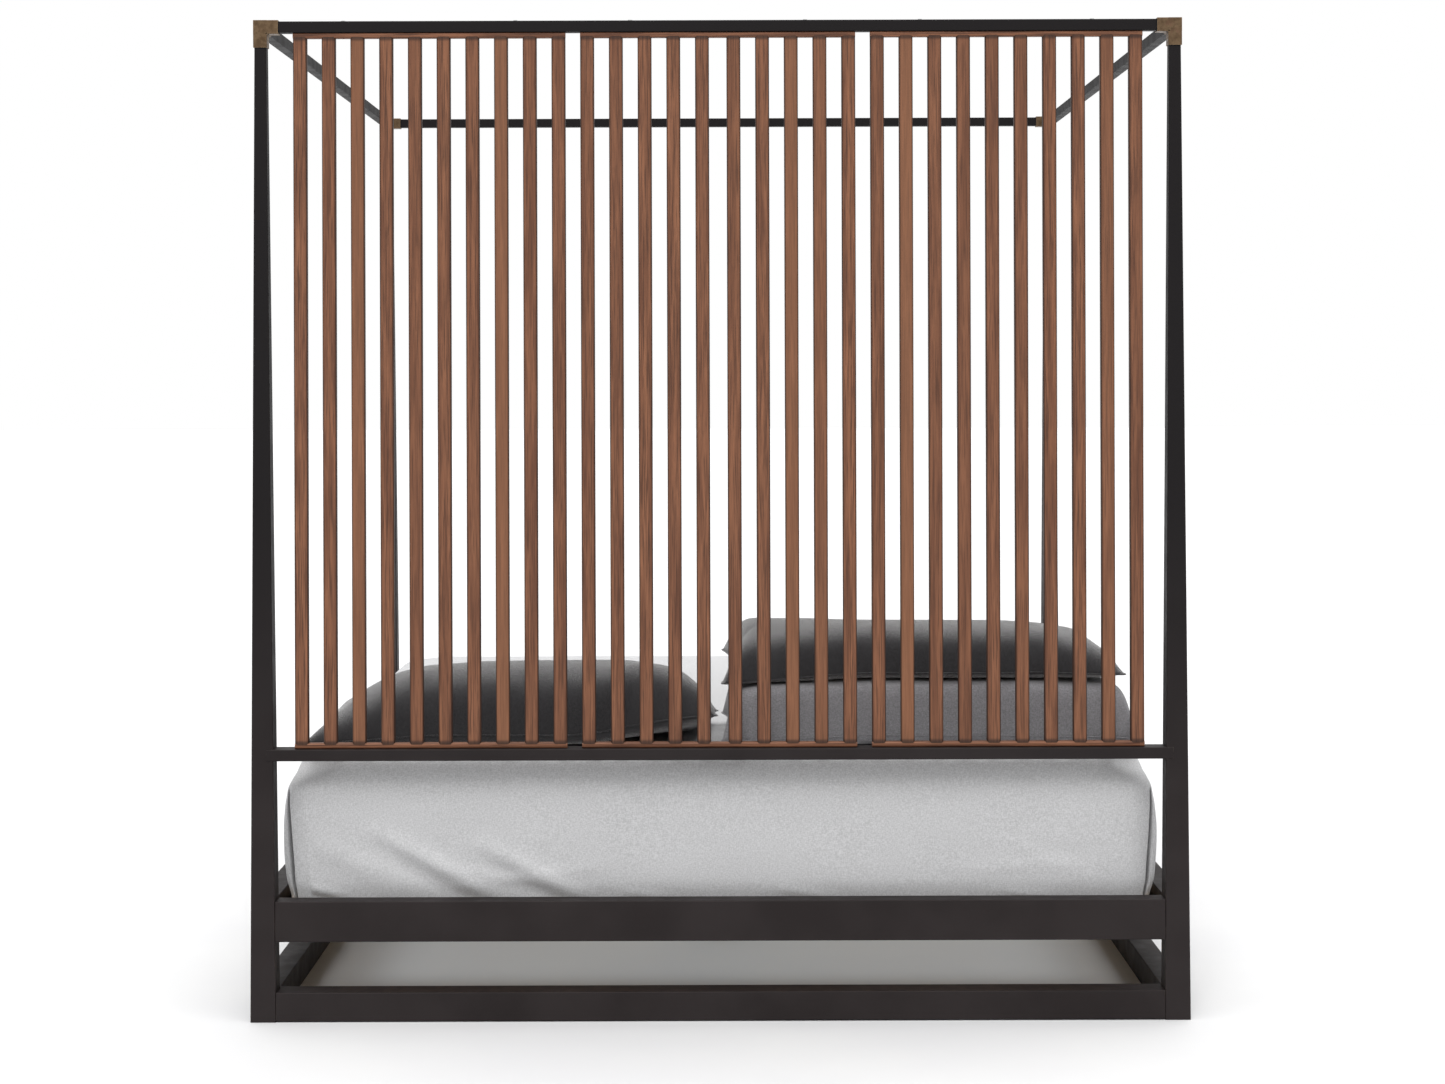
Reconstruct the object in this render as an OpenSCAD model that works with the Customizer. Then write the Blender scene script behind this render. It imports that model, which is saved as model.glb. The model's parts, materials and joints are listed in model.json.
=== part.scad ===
// Four poster canopy bed, king size: four slim tapered steel posts, square steel
// canopy rails held by bronze corner sleeves, a slatted walnut headboard in three
// panels, and a steel platform with wood slats, a mattress and three pillows.
// Millimetres. Origin on the floor at the middle of the bed. +X to the right seen
// from the head end, +Y from the head to the foot, +Z up.

/* [Overall] */
// Width over the post feet
bed_w = 2092; // [2072:2:2132]
// Length over the post feet
bed_l = 2184; // [2164:2:2224]
// Height over the corner sleeves
bed_h = 2231; // [2131:1:2331]

/* [Posts and canopy] */
// Side of the square post at the floor
post_base = 57; // [55:0.5:60]
// Side of the square post and of the canopy rails at the top
tube_top = 25.4; // [24:0.2:27]
// How far the outer post faces lean in over the full height
post_lean = 13.5; // [12:0.5:15]
// Wall of every steel tube
tube_wall = 2; // [1.5:0.1:2.5]
// Radius on the long edges of straight tubes
tube_edge = 2; // [1:0.25:3]
// Wall of the bronze corner sleeves
sleeve_wall = 2.6; // [2:0.1:3.2]
// Length of the two level sleeve arms from the outer corner
sleeve_arm = 55; // [50:1:60]
// Length of the upright sleeve arm from the top
sleeve_drop = 61; // [56:1:66]

/* [Base] */
// Height of the bottom rails
low_rail_h = 63.5; // [55:0.5:70]
// Depth of the bottom rails at head and foot
low_rail_d = 63.5; // [58:0.5:66]
// Gap under the bottom rails
low_rail_lift = 2; // [1:0.5:4]
// Underside of the platform rails
deck_rail_z = 178; // [172:1:182]
// Height of the platform rails
deck_rail_h = 89.5; // [86:0.5:93]
// Depth of the platform rails
deck_rail_d = 50; // [46:1:52]
// Seam between a rail end and its post
seam = 0.6; // [0.4:0.1:1]

/* [Headboard] */
// Underside of the steel headboard rail
mid_rail_z = 580; // [570:1:600]
// Height of the steel headboard rail
mid_rail_h = 25.4; // [22:0.2:30]
// How deep the headboard rail is let into each post
mid_rail_housing = 16; // [10:1:18]
// Width of a walnut slat
slat_w = 31; // [26:0.5:32]
// Depth of a walnut slat
slat_d = 20; // [18:0.5:22]
// Distance between slat centres
slat_pitch = 64.1; // [62:0.1:65]
// Distance from the bed's middle to the first slat centre
slat_start = 35.05; // [33:0.05:37]
// Height of the walnut rails above and below the slats
wood_rail_h = 12.5; // [10:0.5:16]
// Depth of the walnut rails
wood_rail_d = 19; // [17:0.5:20]

/* [Mattress and pillows] */
// Underside of the covered mattress
mattress_z = 242; // [238:1:246]
// Height of the covered mattress
mattress_h = 346; // [300:2:360]
// Clearance from the covered mattress to each side of the bed
mattress_side = 66; // [64:1:76]
// Clearance from the covered mattress to each end of the bed
mattress_end = 67; // [66:1:76]
// Width of a pillow
pillow_w = 944; // [880:2:946]
// Front to back size of a pillow
pillow_d = 480; // [440:5:520]

/* [Hidden] */

$fn = 48;
steel = [0.16, 0.15, 0.15];
bronze = [0.44, 0.36, 0.27];
walnut = [0.47, 0.31, 0.22];
pine = [0.80, 0.67, 0.48];
zinc = [0.65, 0.66, 0.68];
nylon = [0.12, 0.12, 0.12];
linen = [0.76, 0.76, 0.77];
ticking = [0.93, 0.92, 0.90];
charcoal = [0.22, 0.22, 0.23];
pillow_grey = [0.48, 0.48, 0.49];

eps = 0.1;
half_w = bed_w / 2;
half_l = bed_l / 2;
post_h = bed_h - sleeve_wall;
post_lean_in = post_base - tube_top - post_lean;
post_edge = 1.2;

canopy_z = post_h - tube_top;
deck_mid_z = deck_rail_z + deck_rail_h / 2;
low_mid_z = low_rail_lift + low_rail_h / 2;
panel_y = -(half_l - post_lean - tube_top / 2);

// Distance from the outermost face of the bed to a post's outer and inner face
function post_out(z) = post_lean * z / post_h;
function post_in(z) = post_base - post_lean_in * z / post_h;

// ---- shared shapes ----

// Puts a part drawn for the foot right corner into all four, or any one, corner
module at_corner(side, end) {
    mirror([side < 0 ? 1 : 0, 0, 0])
        mirror([0, end < 0 ? 1 : 0, 0])
            children();
}

module rounded_rect(w, h, r) {
    square([w - 2 * r, h], center = true);
    square([w, h - 2 * r], center = true);
    for (x = [-1, 1], y = [-1, 1])
        translate([x * (w / 2 - r), y * (h / 2 - r)]) circle(r);
}

module tube_section(w, h) {
    difference() {
        rounded_rect(w, h, tube_edge);
        square([w - 2 * tube_wall, h - 2 * tube_wall], center = true);
    }
}

// Straight tubes centred on the origin: along X with depth d in Y, or along Y
module tube_x(length, d, h) {
    rotate([90, 0, 90]) linear_extrude(length, center = true) tube_section(d, h);
}

module tube_y(length, w, h) {
    rotate([90, 0, 0]) linear_extrude(length, center = true) tube_section(w, h);
}

module block(x, y, z) {
    translate([x[0], y[0], z[0]]) cube([x[1] - x[0], y[1] - y[0], z[1] - z[0]]);
}

// ---- posts ----

// Tapered outline of a post in one plane, inset by its wall
module taper_outline(inset, z0, z1) {
    polygon([
        [-post_out(z0) - inset, z0], [-post_in(z0) + inset, z0],
        [-post_in(z1) + inset, z1], [-post_out(z1) - inset, z1]
    ]);
}

// Square tapered solid of the foot right post, its corner at half_w, half_l
module tapered_square(inset, z0, z1) {
    translate([half_w, half_l, 0])
        intersection() {
            rotate([90, 0, 0]) linear_extrude(2 * post_base + 2, center = true)
                taper_outline(inset, z0, z1);
            rotate([90, 0, 90]) linear_extrude(2 * post_base + 2, center = true)
                taper_outline(inset, z0, z1);
        }
}

// Planes at 45 degrees that take the sharp edges off a post
module edge_planes() {
    r2 = sqrt(2);
    translate([half_w, half_l, 0])
        intersection() {
            rotate([0, 0, 45]) rotate([90, 0, 0]) linear_extrude(300, center = true)
                polygon([
                    [-post_out(0) * r2 - post_edge, -1],
                    [-post_in(0) * r2 + post_edge, -1],
                    [-post_in(post_h) * r2 + post_edge, post_h + 1],
                    [-post_out(post_h) * r2 - post_edge, post_h + 1]
                ]);
            rotate([0, 0, -45]) rotate([90, 0, 0]) linear_extrude(300, center = true)
                polygon([
                    [post_base / r2 - post_edge, -1],
                    [-post_base / r2 + post_edge, -1],
                    [-tube_top / r2 + post_edge, post_h + 1],
                    [tube_top / r2 - post_edge, post_h + 1]
                ]);
        }
}

// Bolt heights in a post: two at the platform rails and one at the bottom rails
bolt_rise = 22;
bolt_heights = [low_mid_z, deck_mid_z - bolt_rise, deck_mid_z + bolt_rise];
insert_r = 5.5;
insert_length = 14;
insert_start = 1.5;
bolt_r = 4;

deck_rail_out = round(10 * post_out(deck_mid_z)) / 10;
low_rail_out = round(10 * post_out(low_mid_z)) / 10;
low_rail_y = half_l - low_rail_out - low_rail_d / 2;
low_rail_x = half_w - low_rail_out - post_base / 2;
deck_rail_y = half_l - deck_rail_out - deck_rail_d / 2;
deck_rail_x = half_w - deck_rail_out - deck_rail_d / 2;

// Runs its children along the two bolt directions at each bolt height of one post.
// The children point along +X into the post, with the end of the rail at x = 0.
module at_post_bolts() {
    for (z = bolt_heights) {
        low = z == low_mid_z;
        reach = post_in(low ? low_rail_lift : deck_rail_z) + seam;
        translate([half_w - reach, low ? low_rail_y : deck_rail_y, z]) children();
        translate([low ? low_rail_x : deck_rail_x, half_l - reach, z]) rotate([0, 0, 90]) children();
    }
}

module post(notched) {
    color(steel)
        difference() {
            intersection() {
                tapered_square(0, 0, post_h);
                edge_planes();
            }
            tapered_square(tube_wall, -1, post_h + 1);
            at_post_bolts() rotate([0, 90, 0]) cylinder(r = insert_r, h = insert_length);
            if (notched) mirror([0, 1, 0]) mid_rail_block();
        }
}

plug_h = 28;
foot_pad_r = 16;
foot_pad_h = 5;
foot_stem_r = 5;
foot_stem_h = 44;
stem_clearance = 0.1;
recess_clearance = 0.5;
foot_x = half_w - post_base / 2;
foot_y = half_l - post_base / 2;

// Threaded plug in the foot of each post, recessed for the levelling foot's pad
module base_plug() {
    difference() {
        tapered_square(tube_wall + eps, 0, plug_h);
        translate([foot_x, foot_y, -1])
            cylinder(r = foot_pad_r + recess_clearance, h = foot_pad_h + recess_clearance + 1);
        translate([foot_x, foot_y, -1]) cylinder(r = foot_stem_r + stem_clearance, h = plug_h + 2);
    }
}

module post_base_plugs() {
    color(nylon) for (side = [-1, 1], end = [-1, 1]) at_corner(side, end) base_plug();
}

// Threaded stem with a round pad, standing on the floor
module glide(pad_r, pad_h, stem_r, stem_h) {
    color(zinc)
        rotate_extrude()
            polygon([
                [0, 0], [pad_r - 1, 0], [pad_r, 1], [pad_r, pad_h - 1], [pad_r - 1, pad_h],
                [stem_r, pad_h], [stem_r, stem_h - 1], [stem_r - 1, stem_h], [0, stem_h]
            ]);
}

module levelling_foot(side, end) {
    translate([side * foot_x, end * foot_y, 0])
        glide(foot_pad_r, foot_pad_h, foot_stem_r, foot_stem_h);
}

// ---- bolted and welded rails ----

end_plate = 6;
access_r = 10;
access_from_end = 30;

// Welded plates inside a tube's ends with a hole for each bolt, along X
module end_plates(length, d, h, rises) {
    for (s = [-1, 1])
        difference() {
            translate([s * (length - end_plate) / 2, 0, 0])
                cube([end_plate, d - 2 * tube_wall, h - 2 * tube_wall], center = true);
            for (z = rises)
                translate([s * length / 2, 0, z]) rotate([0, 90, 0])
                    cylinder(r = bolt_r + 0.5, h = 3 * end_plate, center = true);
        }
}

// Tube along X with its bolt plates and the holes that let a key reach the bolts.
// The holes are in the wall that faces -Y.
module bolted_rail(length, d, h, rises) {
    difference() {
        union() {
            tube_x(length, d, h);
            end_plates(length, d, h, rises);
        }
        for (s = [-1, 1], z = rises)
            translate([s * (length / 2 - access_from_end), -d / 2, z]) rotate([90, 0, 0])
                cylinder(r = access_r, h = 3 * tube_wall, center = true);
    }
}

low_end_length = 2 * (half_w - post_in(low_rail_lift) - seam);
low_side_length = 2 * (half_l - post_in(low_rail_lift) - seam);
deck_end_length = 2 * (half_w - post_in(deck_rail_z) - seam);
deck_side_length = 2 * (half_l - post_in(deck_rail_z) - seam);

module low_end_rail(end) {
    color(steel) at_corner(1, end) translate([0, low_rail_y, low_mid_z])
        bolted_rail(low_end_length, low_rail_d, low_rail_h, [0]);
}

module low_side_rail(side) {
    color(steel) at_corner(side, 1) translate([low_rail_x, 0, low_mid_z]) rotate([0, 0, -90])
        bolted_rail(low_side_length, post_base, low_rail_h, [0]);
}

module deck_end_rail(end) {
    color(steel)
        at_corner(1, end)
            difference() {
                translate([0, deck_rail_y, deck_mid_z])
                    bolted_rail(deck_end_length, deck_rail_d, deck_rail_h, [-bolt_rise, bolt_rise]);
                at_hanger_screws() cylinder(r = deck_screw_r + 0.05, h = ledger_t + 3);
            }
}

module deck_side_rail(side) {
    color(steel)
        at_corner(side, 1)
            difference() {
                translate([deck_rail_x, 0, deck_mid_z]) rotate([0, 0, -90])
                    bolted_rail(deck_side_length, deck_rail_d, deck_rail_h, [-bolt_rise, bolt_rise]);
                at_ledger_screws() cylinder(r = deck_screw_r + 0.05, h = ledger_t + 3);
            }
}

bolt_head_r = 6.5;
bolt_head_h = 8;
bolt_reach = 10;

// Socket head bolt along +X, its head against the inside of an end plate
module rail_bolt() {
    rotate([0, 90, 0]) translate([0, 0, -end_plate])
        difference() {
            union() {
                translate([0, 0, -bolt_head_h]) cylinder(r = bolt_head_r, h = bolt_head_h);
                translate([0, 0, -1]) cylinder(r = bolt_r - eps, h = bolt_reach + end_plate + 1);
            }
            translate([0, 0, -bolt_head_h - 1]) cylinder(r = 3.5, h = 5, $fn = 6);
        }
}

module rail_bolts() {
    color(zinc) for (side = [-1, 1], end = [-1, 1]) at_corner(side, end) at_post_bolts() rail_bolt();
}

// Threaded insert in a post wall for one rail bolt
module rail_bolt_inserts() {
    color(zinc)
        for (side = [-1, 1], end = [-1, 1])
            at_corner(side, end) at_post_bolts()
                rotate([0, 90, 0]) translate([0, 0, insert_start])
                    difference() {
                        cylinder(r = insert_r - 0.05, h = insert_length);
                        translate([0, 0, -1]) cylinder(r = bolt_r, h = insert_length + 2);
                    }
}

// ---- canopy ----

canopy_gap = 0.3;
canopy_end_length = 2 * (half_w - post_in(canopy_z) - canopy_gap);
canopy_side_length = 2 * (half_l - post_in(canopy_z) - canopy_gap);
canopy_mid_z = canopy_z + tube_top / 2;
canopy_x = half_w - post_lean - tube_top / 2;
canopy_y = half_l - post_lean - tube_top / 2;

// Screw places along one half of the headboard, each between two slats
screw_gaps = [2.5, 6.5, 12.5];
screw_x = [for (k = screw_gaps) slat_start + slat_pitch * k];
head_screw_r = 2.5;

module screw_holes(z, r, h) {
    for (side = [-1, 1], x = screw_x) translate([side * x, panel_y, z]) cylinder(r = r, h = h);
}

module canopy_end_rail(end) {
    color(steel)
        difference() {
            translate([0, end * canopy_y, canopy_mid_z]) tube_x(canopy_end_length, tube_top, tube_top);
            if (end < 0) screw_holes(canopy_z - 1, head_screw_r + 0.2, tube_top + 2);
        }
}

module canopy_side_rail(side) {
    color(steel)
        translate([side * canopy_x, 0, canopy_mid_z]) tube_y(canopy_side_length, tube_top, tube_top);
}

sleeve_side = tube_top + 2 * sleeve_wall;
sleeve_edge = 1.2;
relief_r = 2.4;
set_screw_r = 2.5;
set_screw_h = 2.4;
sleeve_x = canopy_x + sleeve_side / 2;
sleeve_y = canopy_y + sleeve_side / 2;
sleeve_inner_x = sleeve_x - sleeve_side;
sleeve_inner_y = sleeve_y - sleeve_side;
sleeve_inner_z = bed_h - sleeve_side;

// Runs its children at the grub screw of each sleeve arm, pointing into the tube
module at_set_screws() {
    x_end = sleeve_x - sleeve_arm + 10;
    y_end = sleeve_y - sleeve_arm + 10;
    z_end = bed_h - sleeve_drop + 12;
    translate([x_end, canopy_y, sleeve_inner_z]) children();
    translate([canopy_x, y_end, sleeve_inner_z]) children();
    translate([sleeve_inner_x, canopy_y, z_end]) rotate([0, 90, 0]) children();
}

// Three-way bronze sleeve over the post top and two canopy rails
module corner_sleeve(side, end) {
    color(bronze)
        at_corner(side, end)
            difference() {
                union() {
                    translate([sleeve_x - sleeve_arm, canopy_y, bed_h - sleeve_side / 2])
                        rotate([90, 0, 90]) linear_extrude(sleeve_arm)
                            rounded_rect(sleeve_side, sleeve_side, sleeve_edge);
                    translate([canopy_x, sleeve_y, bed_h - sleeve_side / 2])
                        rotate([90, 0, 0]) linear_extrude(sleeve_arm)
                            rounded_rect(sleeve_side, sleeve_side, sleeve_edge);
                    translate([canopy_x, canopy_y, bed_h - sleeve_drop])
                        linear_extrude(sleeve_drop)
                            rounded_rect(sleeve_side, sleeve_side, sleeve_edge);
                }
                tapered_square(0, 0, post_h);
                translate([canopy_x, canopy_y, canopy_mid_z]) {
                    translate([-sleeve_arm, 0, 0])
                        cube([2 * sleeve_arm, tube_top, tube_top], center = true);
                    translate([0, -sleeve_arm, 0])
                        cube([tube_top, 2 * sleeve_arm, tube_top], center = true);
                }
                // round reliefs where two arms meet, one on each outer face
                translate([sleeve_inner_x + 1, sleeve_y + 1, sleeve_inner_z + 1]) rotate([90, 0, 0])
                    cylinder(r = relief_r, h = sleeve_wall + 1);
                translate([sleeve_x + 1, sleeve_inner_y + 1, sleeve_inner_z + 1]) rotate([0, -90, 0])
                    cylinder(r = relief_r, h = sleeve_wall + 1);
                at_set_screws() translate([0, 0, -1]) cylinder(r = set_screw_r, h = sleeve_wall + 2);
            }
}

module sleeve_set_screws() {
    color(zinc)
        for (side = [-1, 1], end = [-1, 1])
            at_corner(side, end) at_set_screws()
                difference() {
                    translate([0, 0, sleeve_wall - set_screw_h - 0.5])
                        cylinder(r = set_screw_r - 0.05, h = set_screw_h);
                    translate([0, 0, -1]) cylinder(r = 1.3, h = 2.2, $fn = 6);
                }
}

// ---- headboard ----

mid_rail_proud = 1.2;
mid_rail_end_x = half_w - post_in(mid_rail_z) + mid_rail_housing;
mid_rail_front = post_out(mid_rail_z) - mid_rail_proud;
mid_rail_back = post_in(mid_rail_z) + mid_rail_proud;

module mid_rail_block() {
    block([-mid_rail_end_x, mid_rail_end_x], [-half_l + mid_rail_front, -half_l + mid_rail_back],
          [mid_rail_z, mid_rail_z + mid_rail_h]);
}

module headboard_mid_rail() {
    d = mid_rail_back - mid_rail_front;
    color(steel)
        difference() {
            translate([0, -half_l + (mid_rail_front + mid_rail_back) / 2, mid_rail_z + mid_rail_h / 2])
                tube_x(2 * mid_rail_end_x, d, mid_rail_h);
            screw_holes(mid_rail_z - 1, head_screw_r + 0.2, mid_rail_h + 2);
        }
}

slats_per_panel = 10;
wood_edge = 4;
slat_edge = 6;
slat_lap = 3;
tenon_w = 18;
tenon_d = 9;
tenon_h = 7;
bottom_rail_z = mid_rail_z + mid_rail_h;
top_rail_z = canopy_z - wood_rail_h;
slat_z0 = bottom_rail_z + wood_rail_h;
slat_z1 = top_rail_z;

// Slat centres of a panel: -1 left, 0 middle, 1 right
function panel_slats(panel) =
    panel == 0
        ? [for (s = [-1, 1], k = [0 : slats_per_panel / 2 - 1]) s * (slat_start + slat_pitch * k)]
        : [for (k = [0 : slats_per_panel - 1])
            panel * (slat_start + slat_pitch * (k + slats_per_panel / 2))];

// Rounded walnut rail across one panel, as one solid bar
module wood_bar(panel, z) {
    xs = panel_slats(panel);
    length = max(xs) - min(xs) + slat_w;
    translate([(max(xs) + min(xs)) / 2, panel_y, z + wood_rail_h / 2]) rotate([90, 0, 90])
        linear_extrude(length, center = true) rounded_rect(wood_rail_d, wood_rail_h, wood_edge);
}

module tenon(x, z) {
    translate([x, panel_y, z]) cube([tenon_w, tenon_d, 2 * tenon_h], center = true);
}

module wood_rail(panel, top) {
    z = top ? top_rail_z : bottom_rail_z;
    mortise_z = top ? slat_z1 : slat_z0;
    color(walnut)
        difference() {
            wood_bar(panel, z);
            for (x = panel_slats(panel)) tenon(x, mortise_z);
            screw_holes(z - 1, head_screw_r + 0.05, wood_rail_h + 2);
        }
}

// Upright slats of one panel, their ends scribed over the rounded rails
module headboard_slats(panel) {
    color(walnut)
        for (x = panel_slats(panel)) {
            difference() {
                translate([x, panel_y, slat_z0 - slat_lap])
                    linear_extrude(slat_z1 - slat_z0 + 2 * slat_lap)
                        rounded_rect(slat_w, slat_d, slat_edge);
                wood_bar(panel, bottom_rail_z);
                wood_bar(panel, top_rail_z);
            }
            intersection() {
                tenon(x, slat_z0);
                wood_bar(panel, bottom_rail_z);
            }
            intersection() {
                tenon(x, slat_z1);
                wood_bar(panel, top_rail_z);
            }
        }
}

screw_head_h = 2.2;
screw_bite = 9.5;

// Button head screw pointing up from z = 0, or down when turned over
module head_screw(shank) {
    difference() {
        union() {
            translate([0, 0, -screw_head_h]) cylinder(r = 4.5, h = screw_head_h);
            cylinder(r = head_screw_r, h = shank);
        }
        translate([0, 0, -screw_head_h - 1]) cylinder(r = 1.6, h = 2.2, $fn = 6);
    }
}

module headboard_screws_lower() {
    color(zinc)
        for (side = [-1, 1], x = screw_x)
            translate([side * x, panel_y, mid_rail_z]) head_screw(mid_rail_h + screw_bite);
}

module headboard_screws_upper() {
    color(zinc)
        for (side = [-1, 1], x = screw_x)
            translate([side * x, panel_y, post_h]) rotate([180, 0, 0]) head_screw(tube_top + screw_bite);
}

// ---- slatted platform ----

deck_slat_t = 19;
deck_slat_w = 90;
deck_slat_count = 14;
deck_top = mattress_z - 0.4;
deck_z = deck_top - deck_slat_t;
deck_inner_x = half_w - deck_rail_out - deck_rail_d;
deck_inner_y = half_l - deck_rail_out - deck_rail_d;
deck_slat_end = deck_inner_x - 4;
deck_slat_pitch = (2 * deck_inner_y - 30 - deck_slat_w) / (deck_slat_count - 1);
ledger_leg = 38;
ledger_t = 3.2;
ledger_end_gap = 47;
slat_screw_x = deck_inner_x - 22;

function deck_slat_y(i) = (i - (deck_slat_count - 1) / 2) * deck_slat_pitch;

ledger_screw_count = 6;
function ledger_screw_y(i) =
    (i - (ledger_screw_count - 1) / 2) * (2 * deck_inner_y - 160) / (ledger_screw_count - 1);
ledger_screw_z = deck_z - 24;
deck_screw_r = 3;

// Runs its children at each ledger screw of the right side rail, along +Z into the
// rail, with the screw head's bearing face at z = 0
module at_ledger_screws() {
    for (i = [0 : ledger_screw_count - 1])
        translate([deck_inner_x - ledger_t, ledger_screw_y(i), ledger_screw_z])
            rotate([0, 90, 0]) children();
}

// Steel angle on the inside of a side rail that carries the slat ends
module ledger(side) {
    length = 2 * (deck_inner_y - ledger_end_gap);
    color(steel)
        at_corner(side, 1)
            difference() {
                translate([deck_inner_x, length / 2, deck_z])
                    rotate([90, 0, 0]) linear_extrude(length)
                        polygon([
                            [0, 0], [0, -ledger_leg], [-ledger_t, -ledger_leg],
                            [-ledger_t, -ledger_t], [-ledger_leg, -ledger_t], [-ledger_leg, 0]
                        ]);
                for (i = [0 : deck_slat_count - 1])
                    translate([slat_screw_x, deck_slat_y(i), deck_z - 10]) cylinder(r = 2.1, h = 20);
                at_ledger_screws() translate([0, 0, -5]) cylinder(r = deck_screw_r + 0.1, h = 20);
            }
}

module mattress_slats() {
    color(pine)
        for (i = [0 : deck_slat_count - 1])
            difference() {
                translate([0, deck_slat_y(i), deck_z + deck_slat_t / 2]) rotate([90, 0, 90])
                    linear_extrude(2 * deck_slat_end, center = true)
                        rounded_rect(deck_slat_w, deck_slat_t, 3);
                for (side = [-1, 1])
                    translate([side * slat_screw_x, deck_slat_y(i), 0]) {
                        translate([0, 0, deck_z - 1]) cylinder(r = 2.1, h = deck_slat_t + 2);
                        translate([0, 0, deck_top - 3.2]) cylinder(r = 5, h = 4);
                    }
            }
}

module mattress_slat_screws() {
    color(zinc)
        for (i = [0 : deck_slat_count - 1], side = [-1, 1])
            translate([side * slat_screw_x, deck_slat_y(i), deck_top - 3.2])
                difference() {
                    union() {
                        cylinder(r = 4.6, h = 2.6);
                        translate([0, 0, -22]) cylinder(r = 2, h = 22);
                    }
                    translate([0, 0, 1.2]) cylinder(r = 1.5, h = 3, $fn = 6);
                }
}

beam_side = 40;
beam_z = deck_z - beam_side / 2;
hanger_t = 3;
hanger_reach = 45;
hanger_plate_w = 84;
beam_length = 2 * (deck_inner_y - hanger_t - 1);
hanger_screw_x = 33;
leg_y = 280;

module centre_beam() {
    color(steel) translate([0, 0, beam_z]) tube_y(beam_length, beam_side, beam_side);
}

// The same for the two screws of a beam hanger on the foot rail
module at_hanger_screws() {
    for (s = [-1, 1])
        translate([s * hanger_screw_x, deck_inner_y - hanger_t, beam_z])
            rotate([-90, 0, 0]) children();
}

// Steel saddle on the inside of an end rail: back plate, shelf and two cheeks
module beam_hanger(end) {
    cheek = beam_side / 2 + 0.3;
    shelf_z = deck_z - beam_side;
    back_y = deck_inner_y - hanger_t;
    color(steel)
        at_corner(1, end)
            difference() {
                union() {
                    block([-hanger_plate_w / 2, hanger_plate_w / 2], [back_y, deck_inner_y],
                          [shelf_z - hanger_t, deck_z]);
                    block([-cheek - hanger_t, cheek + hanger_t], [deck_inner_y - hanger_reach, deck_inner_y],
                          [shelf_z - hanger_t, shelf_z]);
                    for (s = [-1, 1])
                        translate([s * (cheek + hanger_t / 2), deck_inner_y - hanger_reach / 2,
                                   deck_z - beam_side / 2 - hanger_t / 2])
                            cube([hanger_t, hanger_reach, beam_side + hanger_t], center = true);
                }
                at_hanger_screws() translate([0, 0, -5]) cylinder(r = deck_screw_r + 0.1, h = 20);
            }
}

// Short machine screw pointing along +Z from a mounting face at z = 0
module deck_screw() {
    difference() {
        union() {
            translate([0, 0, -3]) cylinder(r = 5.5, h = 3);
            cylinder(r = deck_screw_r, h = ledger_t + 2 - eps);
        }
        translate([0, 0, -4]) cylinder(r = 2, h = 2.8, $fn = 6);
    }
}

// Identical screws that hold the ledgers and the beam hangers to the platform rails
module deck_screws() {
    color(zinc) {
        for (side = [-1, 1]) at_corner(side, 1) at_ledger_screws() deck_screw();
        for (end = [-1, 1]) at_corner(1, end) at_hanger_screws() deck_screw();
    }
}

leg_r = 16;
leg_top = deck_z - beam_side;
leg_foot_z = 6;
leg_plug_h = 24;
leg_flange = 4;
glide_pad_r = 15;
glide_stem_r = 4;
glide_stem_h = 60;

// Round support leg under the beam: flange, tube and a threaded end
module centre_leg(end) {
    color(steel)
        translate([0, end * leg_y, 0])
            difference() {
                union() {
                    translate([0, 0, leg_foot_z]) cylinder(r = leg_r, h = leg_top - leg_foot_z);
                    translate([0, 0, leg_top - leg_flange]) linear_extrude(leg_flange)
                        rounded_rect(60, 80, 6);
                }
                translate([0, 0, leg_foot_z + leg_plug_h])
                    cylinder(r = leg_r - tube_wall, h = leg_top - leg_foot_z - leg_plug_h - leg_flange);
                translate([0, 0, leg_foot_z - 1])
                    cylinder(r = glide_stem_r + stem_clearance, h = leg_plug_h + 2);
            }
}

module centre_glide(end) {
    translate([0, end * leg_y, 0]) glide(glide_pad_r, leg_foot_z - 0.5, glide_stem_r, glide_stem_h);
}

// ---- mattress and pillows ----

mattress_hw = half_w - mattress_side;
mattress_hl = half_l - mattress_end;
sheet_t = 2.4;
sheet_gap = 0.4;
plan_r = 60;
crown_r = 55;

// Outline with wide radii at the top corners and small ones at the bottom
module crowned_rect(w, h, r_top, r_low) {
    translate([-w / 2, r_low]) square([w, h - r_low - r_top]);
    translate([-w / 2 + r_low, 0]) square([w - 2 * r_low, r_low + 1]);
    translate([-w / 2 + r_top, h - r_top - 1]) square([w - 2 * r_top, r_top + 1]);
    for (s = [-1, 1]) {
        translate([s * (w / 2 - r_low), r_low]) circle(r_low);
        translate([s * (w / 2 - r_top), h - r_top]) circle(r_top);
    }
}

// Mattress shaped block, its faces set in by a distance
module mattress_block(inset) {
    w = 2 * (mattress_hw - inset);
    l = 2 * (mattress_hl - inset);
    h = mattress_h - 2 * inset;
    translate([0, 0, mattress_z + inset])
        intersection() {
            linear_extrude(h) rounded_rect(w, l, plan_r - inset);
            rotate([90, 0, 0]) linear_extrude(l + 2, center = true)
                crowned_rect(w, h, crown_r - inset, 20);
            rotate([90, 0, 90]) linear_extrude(w + 2, center = true)
                crowned_rect(l, h, crown_r - inset, 20);
        }
}

module mattress() {
    color(ticking) mattress_block(sheet_t + sheet_gap);
}

hem_inset = 150;

// Fitted sheet: a thin shell tucked under the mattress, open in the middle below
module fitted_sheet() {
    color(linen)
        difference() {
            mattress_block(0);
            mattress_block(sheet_t);
            translate([0, 0, mattress_z - 1]) linear_extrude(sheet_t + 21)
                rounded_rect(2 * (mattress_hw - hem_inset), 2 * (mattress_hl - hem_inset), plan_r);
        }
}

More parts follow.
